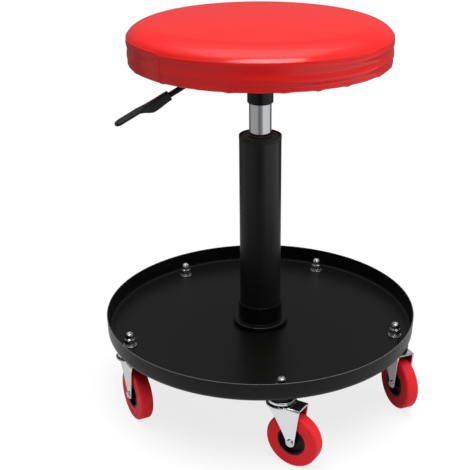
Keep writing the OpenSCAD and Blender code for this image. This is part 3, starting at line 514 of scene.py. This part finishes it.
# The stems: hex collar over the cup, kingpin, and its peened head under the fork
peen_top_z = FORK_TOP_Z - FORK_T - 0.1
peen_z, step_z = peen_top_z - PEEN_T, CUP_TOP_Z + 0.5
stem_profile = rounded([
    (0, peen_z), (PEEN_R, peen_z, 1.6), (PEEN_R, peen_top_z, 0.3), (KINGPIN_R, peen_top_z, 0.2),
    (KINGPIN_R, step_z, 0.1), (STUD_R, step_z, 0.1), (STUD_R, STUD_TOP_Z, 0.6), (0, STUD_TOP_Z)])
collar = hexagon(COLLAR_ACROSS, CUP_TOP_Z, TRAY_UNDER_Z, 0.8, 0.0)
piece("stem_set", at_stems(join(turned(stem_profile, 40), collar)), "zinc", "base", ["caster_stems"])

cup_bore_r, cup_inner_r, cup_roof_z = KINGPIN_R + FIT, CUP_R - CUP_WALL, CUP_TOP_Z - 2
cup_profile = rounded([
    (cup_bore_r, cup_roof_z, 0.2), (cup_inner_r, cup_roof_z, 0.6), (cup_inner_r, CUP_FOOT_Z, 0.3),
    (CUP_R, CUP_FOOT_Z, 0.4), (CUP_R, CUP_TOP_Z, 1.6), (cup_bore_r, CUP_TOP_Z, 0.2)], closed=True)
piece("raceway_cup_set", at_stems(turned(cup_profile, 72, closed=True)), "chrome", "base", ["raceway_cups"])


# Casters


def leg_edges(z):
    """Where a leg's leading and trailing edges are at height z: the leading edge is a curve
    (1 - t)^2 p + 2 t (1 - t) q + t^2 s, then both edges go round the axle's boss."""
    top = FORK_TOP_Z - FORK_T / 2
    bend_z = top - 3.5
    turn = math.radians(162)
    s = np.array([TRAIL + FORK_BOSS_R * math.cos(turn), WHEEL_R + FORK_BOSS_R * math.sin(turn)])
    p, q = np.array([-FORK_LEAD, bend_z]), np.array([-5.0, top - 9.0])
    t = np.linspace(0, 1, 40)[:, None]
    curve = (1 - t) ** 2 * p + 2 * t * (1 - t) * q + t**2 * s
    lead = np.interp(z, curve[::-1, 1], curve[::-1, 0])
    round_it = np.sqrt(np.maximum(0, FORK_BOSS_R**2 - (z - WHEEL_R) ** 2))
    lead = np.where(z < s[1], TRAIL - round_it, lead)
    tail = np.interp(z, [WHEEL_R, bend_z], [TRAIL + FORK_BOSS_R, FORK_TAIL])
    return lead, np.where(z < WHEEL_R, TRAIL + round_it, tail)


def fork_leg(side):
    """One wall of the fork, on the side of -Y for 1 and +Y for -1. Each level is a thin bar with round
    ends. Its middle line runs from the trailing edge straight forwards, then round the leading corner
    in an arc, and near the top on to the middle of the fork's leading end."""
    middle, turn_r, half_t = FORK_HALF_W + FORK_T / 2, FORK_TURN_R - FORK_T / 2, FORK_T / 2
    turn_x, corner, edge_r = FORK_TURN_R - FORK_LEAD, turn_r * math.pi / 2, 0.55
    close_z, close_h = FORK_TOP_Z - 5.4, 0.8
    low = WHEEL_R - FORK_BOSS_R * np.cos(np.linspace(0, math.pi / 2, 14))
    z = np.concatenate([low, np.linspace(WHEEL_R, FORK_TOP_Z - 2.0, 60)[1:]])
    lead, tail = leg_edges(z)
    past = np.clip((turn_x - lead) / FORK_TURN_R, 0, 1)
    front = (middle - turn_r) * np.clip((z - close_z) / close_h, 0, 1)
    first = turn_x - tail
    last = np.where(lead > turn_x, turn_x - lead, turn_r * np.arcsin(past) + front)
    edge = np.minimum(edge_r, (last - first) / 2)[:, None]
    a = np.radians([0, 22.5, 45, 67.5, 90])
    along = np.linspace(0, 1, 30)
    share = np.concatenate([np.zeros(5), along, np.ones(10), along[::-1], np.zeros(5)])
    out = 0 * along
    bow = np.concatenate([-np.cos(a), out, np.cos(a[::-1]), np.cos(a), out, -np.cos(a[::-1])])
    rise = np.concatenate([np.sin(a), out + 1, np.sin(a[::-1]), -np.sin(a), out - 1, -np.sin(a[::-1])])
    way = (first[:, None] + edge) * (1 - share) + (last[:, None] - edge) * share + edge * bow
    off = np.repeat([1, -1], 40) * (half_t - edge_r) + edge_r * rise
    turn = np.clip(way, 0, corner) / turn_r
    x = turn_x - np.minimum(way, 0) - turn_r * np.sin(turn) - np.sin(turn) * off
    y = -middle + turn_r * (1 - np.cos(turn)) + np.maximum(way - corner, 0) - np.cos(turn) * off
    return swept(np.stack([x, side * y, z[:, None] + 0 * x], -1))


def fork_plate():
    """The fork's top: an outline with round leading corners, drawn in along a quarter circle where the
    sheet bends over into the legs."""
    half, bend, edge = FORK_HALF_W + FORK_T, 2.0, 0.15
    a = np.linspace(0, math.pi / 2, 9)
    drawn = np.concatenate([[bend, edge], bend * (1 - np.cos(a))])[:, None]
    z = np.concatenate([[FORK_TOP_Z - FORK_T] * 2, FORK_TOP_Z - bend + bend * np.sin(a)])[:, None]
    turn = np.linspace(0, math.pi / 2, 12)[None]
    reach = FORK_TURN_R - drawn
    x = FORK_TURN_R - FORK_LEAD - reach * np.sin(turn)
    y = -(half - FORK_TURN_R) - reach * np.cos(turn)
    tail_x = FORK_TAIL - edge * drawn
    x = np.hstack([tail_x, tail_x, x])
    y = np.hstack([0 * drawn - half / 2, drawn - half, y])
    outline_x, outline_y = np.hstack([x, x[:, ::-1]]), np.hstack([y, -y[:, ::-1]])
    return swept(np.stack([outline_x, outline_y, z + 0 * outline_x], -1))


disc_bore_r, disc_z, disc_top_z = KINGPIN_R + RUN, FORK_TOP_Z - FORK_T, FORK_TOP_Z + FIT
disc_profile = rounded([
    (disc_bore_r, disc_z, 0.2), (FORK_CAP_R, disc_z, 0.5), (FORK_CAP_R, disc_top_z, 1.5),
    (disc_bore_r, disc_top_z, 0.2)], closed=True)
fork_form = join(fork_leg(1), fork_leg(-1), fork_plate(), turned(disc_profile, 72, closed=True))

leg_face = FORK_HALF_W + FORK_T
head_foot, head_face, shank_end = leg_face - 0.2, leg_face + AXLE_HEAD_T, -leg_face - AXLE_END
head_profile = rounded(
    [(0, head_foot), (AXLE_HEAD_R, head_foot), (AXLE_HEAD_R, head_face, 1.7), (0, head_face)], steps=8)
shank_profile = rounded([(0, shank_end), (AXLE_R, shank_end, 0.5), (AXLE_R, leg_face), (0, leg_face)])
axle_nut = hexagon(AXLE_NUT_ACROSS, -leg_face - AXLE_NUT_T, -leg_face + FIT, 0.8, 0.3)
axle_form = laid(join(turned(head_profile, 48), turned(shank_profile, 32), axle_nut))

half_w = WHEEL_W / 2
web_w = half_w - HUB_DISH
boss_w = FORK_HALF_W - 0.4
hub_bore_r, rim_r = AXLE_R + RUN, HUB_R - HUB_RIM
hub_profile = rounded([
    (hub_bore_r, -boss_w, 0.2), (HUB_BOSS_R, -boss_w, 0.5), (HUB_BOSS_R, -web_w, 0.6), (rim_r, -web_w, 0.8),
    (rim_r, -half_w, 0.4), (HUB_R, -half_w, 0.3), (HUB_R, half_w, 0.3), (rim_r, half_w, 0.4),
    (rim_r, web_w, 0.8), (HUB_BOSS_R, web_w, 0.6), (HUB_BOSS_R, boss_w, 0.5), (hub_bore_r, boss_w, 0.2),
], closed=True)
hub_form = laid(turned(hub_profile, 80, closed=True))
tyre_bore_r, face_r, tread_w = HUB_R + FIT, WHEEL_R - TYRE_BEVEL, half_w - TYRE_BEVEL
tyre_profile = rounded([
    (tyre_bore_r, -half_w, 0.3), (face_r, -half_w, 0.5), (WHEEL_R, -tread_w, 0.9),
    (WHEEL_R, tread_w, 0.9), (face_r, half_w, 0.5), (tyre_bore_r, half_w, 0.3),
], closed=True)
tyre_form = laid(turned(tyre_profile, 144, closed=True))


def at_axle(form):
    """A form about the axle, moved out to it from the stem."""
    return moved(form, 0, (TRAIL, 0, WHEEL_R))


for k in range(len(STEM_ANGLES)):
    number = k + 1
    swivel, wheel = f"swivel_{number}", f"wheel_{number}"
    piece(f"fork_skin_{number}", at_caster(fork_form, k), "chrome", swivel, [f"fork_{number}"])
    piece(f"axle_bolt_{number}", at_caster(at_axle(axle_form), k), "zinc", swivel, [f"axle_{number}"])
    piece(f"wheel_hub_{number}", at_caster(at_axle(hub_form), k), "black_hub", wheel, [f"hub_{number}"])
    piece(f"wheel_tyre_{number}", at_caster(at_axle(tyre_form), k), "red_tyre", wheel, [f"tyre_{number}"])


# Lever, drawn in its own plane: X out from the column, Z up from the rod


def in_lever_plane(form):
    """A form from the lever's plane, turned to the way the lever points and lifted to its height."""
    return moved(form, LEVER_AZIMUTH, (0, 0, ROD_Z))


def lever_rod():
    """A circle carried along the rod: straight to the bend, round it, and down the slope."""
    cut = BEND_R * math.tan(SLOPE / 2)
    end = ROD_REACH + GRIP_HOLD
    a = np.linspace(0, SLOPE, 16)
    past = cut + 0.5
    x = np.concatenate([
        [ROD_INNER_X, ROD_INNER_X + 0.15, ROD_INNER_X + 0.7, BEND_X - past],
        BEND_X - cut + BEND_R * np.sin(a),
        [BEND_X + past * math.cos(SLOPE), BEND_X + end * math.cos(SLOPE)]])
    z = np.concatenate([
        np.zeros(4), -BEND_R * (1 - np.cos(a)), [-past * math.sin(SLOPE), -end * math.sin(SLOPE)]])
    r = np.full(len(x), ROD_R)
    r[:3] = [ROD_R - 0.7, ROD_R - 0.25, ROD_R]
    way = np.concatenate([np.zeros(4), a, [SLOPE, SLOPE]])[:, None]
    turn = np.linspace(0, 2 * math.pi, 32, endpoint=False)[None]
    side, up = r[:, None] * np.cos(turn), r[:, None] * np.sin(turn)
    return swept(np.stack([x[:, None] + up * np.sin(way), side, z[:, None] + up * np.cos(way)], -1))


boss = laid(ring(LEVER_BOSS_R, PIVOT_BORE_R, -LEVER_BOSS_HALF_W, LEVER_BOSS_HALF_W, 0.5, 48))
boss = moved(boss, 0, (PIVOT_X, 0, 0))
piece("lever_bar", in_lever_plane(join(lever_rod(), boss)), "black_gloss", "lever", ["lever_rod"])


def grip():
    """Rings of a rounded box, (|y| / w)^p + (|z| / h)^p = 1, along the slope. The section swells from its
    root to the boss and goes on to the flat finger's by smooth steps, and both ends are drawn in round."""
    s = GRIP_LEN * (1 - np.cos(np.linspace(0, math.pi, 70))) / 2
    blend = ease((s - GRIP_SWELL) / 19)
    wide = (GRIP_ROOT_W + (GRIP_W - GRIP_ROOT_W) * blend) / 2
    root_h = GRIP_H * 0.85
    boss_h = root_h + (GRIP_H - root_h) * ease(s / GRIP_SWELL)
    deep = boss_h + (FINGER_H - boss_h) * blend
    middle = (root_h - deep) / 2
    tip, root, squareness = GRIP_W / 2, 1.5, 0.4
    from_tip = np.maximum(0, tip - (GRIP_LEN - s)) / tip
    from_root = np.maximum(0, root - s) / root
    full = np.sqrt(np.maximum(0, 1 - from_tip**2)) * (1 - 0.15 * from_root**2)
    turn = np.linspace(0, 2 * math.pi, 56, endpoint=False)
    c, d = np.cos(turn), np.sin(turn)
    y = (wide * full)[:, None] * np.sign(c) * np.abs(c) ** squareness
    up = middle[:, None] + (deep / 2 * np.sqrt(full))[:, None] * np.sign(d) * np.abs(d) ** squareness
    along = ROD_REACH + s[:, None]
    x = BEND_X + along * math.cos(SLOPE) + up * math.sin(SLOPE)
    z = -along * math.sin(SLOPE) + up * math.cos(SLOPE)
    return swept(np.stack([x, y, z], -1))


piece("lever_handle", in_lever_plane(grip()), "black_plastic", "lever", ["lever_grip"])


# Cushion

PANEL_SEAM_Z, SIDE_SEAM = 486.3, math.radians(-133.7)
FINE_FOLD_Z, UPPER_FOLD_Z, VALLEY_Z, LOWER_FOLD_Z, HEM_VALLEY_Z = 482.5, 481.0, 475.2, 466.8, 460.4
PUCKER_Z, TUFT_Z = 473.0, 481.0
SEAM_HALF_W, SEAM_CLEAR = 6.0, 6.5

# Where the moves of the side, the hem and the pleats begin or end, as radii and heights
SIDE_FROM_R, HEM_FROM_R, PLEAT_TO_R = 150.0, 152.0, 158.0
SIDE_FROM_Z, HEM_TO_Z, DIMPLE_TO_Z = 455.0, 466.0, 470.0

# The flat that the strip of light lies on, along the front of the shoulder: way in degrees, spread in
# degrees, share; and the cone that cuts it
FRONT_FLAT = [(-85, 26, 1.0)]
FLAT_SLOPE, FLAT_Z, FLAT_R, FLAT_FROM_R = 0.62, 487.6, 161.8, 159.0

# Where the hem is gathered: the way from the column in degrees, and how far it hangs, in millimetres
GATHERS = [
    (-133.6, 0.9), (-115.0, 0.4), (-102.5, 1.0), (-80.5, 0.7), (-66.3, 1.5), (-52.4, 1.2), (-31.0, 0.8),
    (-14.0, 1.2), (7.0, 0.6), (21.0, 1.1), (43.0, 0.8), (58.0, 1.3), (79.0, 0.9), (97.0, 0.6),
    (112.0, 1.3), (134.0, 0.8), (151.0, 1.1), (169.0, 0.7), (-172.0, 1.2), (-155.0, 0.8)]

# How high the folds of the side stand round the seat: way in degrees, spread in degrees, share
UPPER_FOLD = [(-38, 24, 1.0), (10, 20, 0.3), (62, 26, 0.8), (118, 18, 0.6), (165, 22, 0.9), (-160, 12, 0.2)]
LOWER_FOLD = [(-82, 22, 1.0), (-42, 20, 1.0), (-8, 18, 0.35), (40, 26, 1.0), (95, 24, 0.8), (145, 24, 0.9),
              (-170, 16, 0.25), (-125, 14, 0.3)]


def cushion_section():
    """The cushion's half section as (radius, height) points: a crown that falls by the square of the
    radius, a quarter of an ellipse for its shoulder, a side drawn in by half a cosine, a rolled hem, the
    tucked edge, and the board's face inside."""
    turn_r, turn_z = SEAT_R - SHOULDER_W, CROWN_Z - CROWN_RISE - SHOULDER_H
    roll_x, roll_z = HEM_R - HEM_ROLL_R, SEAT_UNDER_Z + HEM_ROLL_R
    share = np.linspace(0, 1, 34)[:-1]
    crown = np.stack([turn_r * share, CROWN_Z - CROWN_RISE * share**2], -1)
    a = np.radians(np.concatenate([np.linspace(90, 30, 21), np.arange(29, 0.5, -0.8), [0]]))
    shoulder = np.stack([turn_r + SHOULDER_W * np.cos(a), turn_z + SHOULDER_H * np.sin(a)], -1)
    share = np.linspace(0, 1, 36)[1:-1]
    side = np.stack([SEAT_R - (SEAT_R - HEM_R) * (1 - np.cos(math.pi * share)) / 2,
                     turn_z + (roll_z - turn_z) * share], -1)
    a = np.linspace(0, -math.pi / 2, 12)
    hem = np.stack([roll_x + HEM_ROLL_R * np.cos(a), roll_z + HEM_ROLL_R * np.sin(a)], -1)
    r = np.linspace(roll_x, TUCK_R, 16)[1:]
    tuck = np.stack([r, np.full(len(r), SEAT_UNDER_Z)], -1)
    board_z = BOARD_UNDER_Z + 0.3
    inside = np.array([(TUCK_R, board_z), (0, board_z)])
    return np.concatenate([crown, shoulder, side, hem, tuck, inside])


def round_about(way, table):
    """A sum of smooth bumps round the seat, each (degrees, spread in degrees, height)."""
    total = 0 * way
    for middle, spread, height in table:
        off = np.angle(np.exp(1j * (way - math.radians(middle))))
        total = total + height * bell(off / math.radians(spread))
    return total


def cushion():
    """The stuffed seat: its section turned round the column, then moved in and out by smooth bumps
    exp(-x^2) of the height and of the way round. They make the seam under the top panel, the side's long
    soft folds, its upright seam with a pucker and a tuft, and the gathers and pleats of the hem. Along
    the front, what stands out past a cone is taken in, by max(0, r + slope * (z - z0) - r0)."""
    section = cushion_section()
    around = np.linspace(-math.pi, math.pi, 400, endpoint=False)
    near_seam = SIDE_SEAM + np.linspace(-SEAM_HALF_W, SEAM_HALF_W, 33) / SEAT_R
    past_seam = around[np.abs(around - SIDE_SEAM) > SEAM_CLEAR / SEAT_R]
    t = np.sort(np.concatenate([past_seam, near_seam]))[None]
    r, z = section[:, :1], section[:, 1:]
    side = ease((r - SIDE_FROM_R) / 8) * ease((z - SIDE_FROM_Z) / 4)
    off = (t - SIDE_SEAM) * SEAT_R
    seam_z = PANEL_SEAM_Z + 0.25 * np.sin(3 * t + 1) - 1.7 * ease((off + 12) / 10) * bell((off - 10) / 90)
    flat = round_about(t, FRONT_FLAT)
    out = side * (0.5 * bell((z - seam_z - 1.2) / 0.9) - 0.16 * bell((z - seam_z + 0.3) / 0.8)) * (1 - flat)
    out = out - flat * np.maximum(0, r + FLAT_SLOPE * (z - FLAT_Z) - FLAT_R) * (r > FLAT_FROM_R)

    band = side * ease((seam_z - z) / 2)
    upper, lower = round_about(t, UPPER_FOLD), round_about(t, LOWER_FOLD)
    level = 0.7 * np.sin(3 * t + 1) + 0.4 * np.sin(7 * t)
    folds = 1.0 * upper * bell((z - UPPER_FOLD_Z) / 2.8)
    folds = folds - (0.5 + 0.5 * upper) * bell((z - VALLEY_Z - level) / 3.9)
    folds = folds + 1.3 * lower * bell((z - LOWER_FOLD_Z - level) / 3.8)
    folds = folds - 0.6 * lower * bell((z - HEM_VALLEY_Z) / 2.8)
    out = out + band * folds
    fine = np.sin(9 * t + 0.5) * bell((z - FINE_FOLD_Z - 0.8 * np.sin(5 * t)) / 0.9)
    out = out + band * 0.06 * fine

    joint = ease((seam_z - z) / 1.5) * side
    out = out - joint * (0.75 * bell(off / 0.7) - 0.3 * bell((np.abs(off) - 1.9) / 1.3))
    pucker = bell((off + 3.6 + 0.5 * (z - PUCKER_Z)) / 1.6) * bell((z - PUCKER_Z) / 4.5)
    tuft = bell((off + 9.5) / 2.4) * bell((z - TUFT_Z) / 1.7)
    out = out + side * (1.2 * pucker + 1.2 * tuft)

    hang = 0.12 * np.sin(t * 31 + 2 * np.sin(t * 4))
    dimple = 0 * t
    for way, depth in GATHERS:
        along = np.angle(np.exp(1j * (t - math.radians(way)))) * SEAT_R
        hang = hang + depth * bell(along / 4.2)
        dimple = dimple + depth * (bell((along - 5.5) / 2.4) + bell((along + 5.5) / 2.4))
    at_hem = ease((r - HEM_FROM_R) / 5) * ease((HEM_TO_Z - z) / 10)
    new_z = z - hang * at_hem
    out = out - 0.35 * dimple * side * ease((DIMPLE_TO_Z - z) / 12)
    under = (z < SEAT_UNDER_Z + 0.5) & (r > TUCK_R + 0.1)
    pleat = 0.3 * np.cos(t * 60 + 2 * np.sin(t * 5)) * ease((r - TUCK_R) / 8) * ease((PLEAT_TO_R - r) / 4)
    new_z = new_z + np.where(under, pleat, 0)
    new_r = r + out
    return grid(np.stack([new_r * np.cos(t), new_r * np.sin(t), new_z], -1))


seat_cushion = piece("seat_cushion", cushion(), "red_vinyl", "seat", ["vinyl_cover", "foam_pad"])


# The solids that stay: each takes the material of its slot

slots = {part["node"]: part["material_slot"] for part in frame["record"]["subparts"]}
for node, shown in frame["nodes"].items():
    shown.data.materials.clear()
    shown.data.materials.append(FINISHES[slots[node]])


# Floor, lamps, world and camera


def stage_floor():
    """A pale disc under the seat. Far out it fades to the white of the world behind it. What shines
    mirrors it bright round the wheels, and dimmer further out and behind the seat. Under the tray it is
    painted
    dimmer still: a painted shadow of the tray, seen only in what shines."""
    radius, drop = 700.0, 0.4
    a = np.linspace(0, 2 * math.pi, 96, endpoint=False)
    radii = np.array([0.0, radius / 2, radius])[:, None]
    rings = np.stack([radii * np.cos(a), radii * np.sin(a), 0 * radii * a - drop], -1)
    points, quads, triangles = grid(rings)
    mesh = bpy.data.meshes.new("studio_floor")
    mesh.from_pydata((points * MM).tolist(), [], quads.tolist() + triangles.tolist())
    floor = bpy.data.objects.new("studio_floor", mesh)
    bpy.context.scene.collection.objects.link(floor)
    made = bpy.data.materials.new("studio_floor")
    made.use_nodes = True
    f = Finish(made.node_tree)
    matt = f.node("ShaderNodeBsdfDiffuse", None, {"Color": (0.80, 0.80, 0.80, 1)})
    rays = f.node("ShaderNodeLightPath").outputs
    seen, mirrored = Value(f, rays["Is Camera Ray"]), Value(f, rays["Is Glossy Ray"])
    out = f.value("ShaderNodeVectorMath", {"operation": "LENGTH"}, {0: f.place()}, "Value")
    # under: the floor beneath the tray, painted dimmer for mirrored rays as a painted shadow of the tray
    behind, under = f.part_of(1).between(-0.20, -0.06), 1.0 - out.between(0.13, 0.22)
    bright = 0.87 - out.between(0.30, 0.46) * (0.72 - behind * 0.27)
    level = seen + mirrored * bright * (1.0 - behind * 0.25) * (1.0 - under * 0.66)
    white = f.node("ShaderNodeEmission", None, {"Color": level, "Strength": 1.0})
    share = (out.between(0.24, 0.60) * 0.20 + 0.80) * seen + mirrored
    mixed = f.node("ShaderNodeMixShader", None, {0: share, 1: matt.outputs[0], 2: white.outputs[0]})
    f.node("ShaderNodeOutputMaterial", None, {"Surface": mixed.outputs[0]})
    mesh.materials.append(made)


stage_floor()


def lamp(name, place, target, size, watts):
    """A soft lamp, wide and high by its size, aimed from its place at a point."""
    data = bpy.data.lights.new(name, "AREA")
    data.shape, data.size, data.size_y, data.energy = "RECTANGLE", size[0], size[1], watts
    made = bpy.data.objects.new(name, data)
    bpy.context.scene.collection.objects.link(made)
    made.location = place
    made.rotation_euler = (Vector(target) - Vector(place)).to_track_quat("-Z", "Y").to_euler()


lamp("top_softbox", (0.0, 0.3, 2.5), (0, 0, 0.5), (2.4, 1.6), 8)
lamp("front_strip", (0.14, -1.17, 1.73), (0, -0.16, 0.49), (1.6, 0.12), 9.5)

world = bpy.data.worlds.new("studio")
bpy.context.scene.world = world
world.use_nodes = True


def light_world(f):
    """White to the camera. What polished faces mirror is a room: dim at the level of the eye and a
    little lighter overhead, and lower down bands of dark, grey and light by direction. Other faces get
    its light from above and a little from the right."""
    rays = f.node("ShaderNodeLightPath").outputs
    split = f.node("ShaderNodeSeparateXYZ", None, {
        "Vector": f.node("ShaderNodeTexCoord").outputs["Generated"]})
    x, y, z = (Value(f, split.outputs[i]) for i in range(3))
    flat = (x * x + y * y).math("SQRT").math("MAXIMUM", 0.001)
    right = x.math("DIVIDE", flat)
    front = (y * -1.0).math("DIVIDE", flat)
    low = right.between(-0.1, 0.5) * 0.54 + (-1.0 * right).between(-0.1, 0.5) * 0.23
    low = low * front.between(-0.55, -0.35) * (1.0 - front.between(0.86, 0.92) * 0.55) + 0.12
    high = z.between(0.45, 0.75) * 0.3 + 0.16
    above = z.between(-0.12, 0.05)
    glossy = low * (1.0 - above) + high * above
    seen = Value(f, rays["Is Camera Ray"])
    gloss = Value(f, rays["Is Glossy Ray"])
    plain = z.between(0.75, 1.0) * 5.6 + x.between(0.5, 0.95) * 1.2 + 0.02
    level = seen + (1.0 - seen) * (gloss * glossy + (1.0 - gloss) * plain)
    back = f.node("ShaderNodeBackground", None, {"Color": level, "Strength": 1.0})
    f.node("ShaderNodeOutputWorld", None, {"Surface": back.outputs[0]})


light_world(Finish(world.node_tree))

camera_data = bpy.data.cameras.new("camera")
camera = bpy.data.objects.new("camera", camera_data)
bpy.context.scene.collection.objects.link(camera)
bpy.context.scene.camera = camera
camera.location = CAMERA_PLACE
camera.rotation_euler = (math.pi / 2 - LOOK_DOWN, 0, 0)
camera_data.lens = SENSOR_MM * FOCAL_PX / PICTURE_SIDE_PX
camera_data.shift_x = -SHIFT_PX / PICTURE_SIDE_PX

bpy.context.scene.view_settings.view_transform = "Standard"
